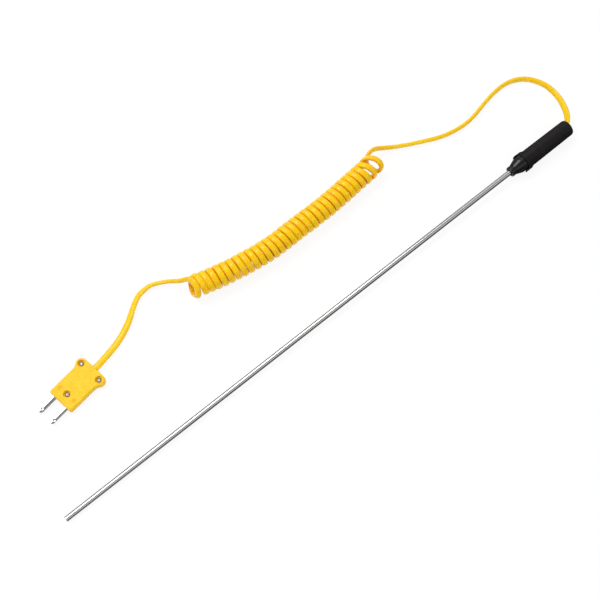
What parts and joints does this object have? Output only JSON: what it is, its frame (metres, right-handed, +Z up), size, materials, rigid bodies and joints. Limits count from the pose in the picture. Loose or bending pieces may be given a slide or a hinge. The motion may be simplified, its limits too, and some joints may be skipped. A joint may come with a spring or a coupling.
{
  "type": "thermocouple probe",
  "caption": "Handheld thermocouple probe: long thin metal sheath, slim black handle, curly yellow cord and a flat two-blade plug.",
  "frame": {"origin": "on the table, under the middle of the sheath and handle", "axes": "+X along the sheath from its tip to the handle, +Y towards the cord's side, +Z up"},
  "size_m": [0.3591, 0.0808, 0.0131],
  "materials": {
    "brushed_steel": "drawn tube, lengthwise grain",
    "nickel": "bright alloy",
    "brass": "plain",
    "ceramic": null,
    "black_plastic": "moulded, semi-gloss",
    "black_rubber": "matt",
    "yellow_plastic": "moulded, satin",
    "yellow_jacket": "smooth cord jacket",
    "core_jacket": "plain core insulation"
  },
  "bodies": {
    "root": {"probe_sheath": "brushed_steel", "two_hole_insulator": "ceramic", "positive_wire": "nickel", "negative_wire": "nickel", "measuring_junction": "nickel", "sheath_ferrule": "brass", "nose_cap": "black_plastic", "handle_grip": "black_plastic", "positive_splice": "brass", "negative_splice": "brass", "handle_core_positive": "core_jacket", "handle_core_negative": "core_jacket", "cord_bush": "black_rubber", "upper_lead": "yellow_jacket", "curly_cord": "yellow_jacket", "lower_lead": "yellow_jacket", "plug_upper_shell": "yellow_plastic", "plug_lower_shell": "yellow_plastic", "positive_blade": "nickel", "negative_blade": "nickel", "terminal_screw_positive": "brass", "terminal_screw_negative": "brass", "plug_core_positive": "core_jacket", "plug_core_negative": "core_jacket", "cover_screw_front": "nickel", "cover_screw_left": "nickel", "cover_screw_right": "nickel", "cover_nut_front": "brass", "cover_nut_left": "brass", "cover_nut_right": "brass"}
  },
  "joints": []
}
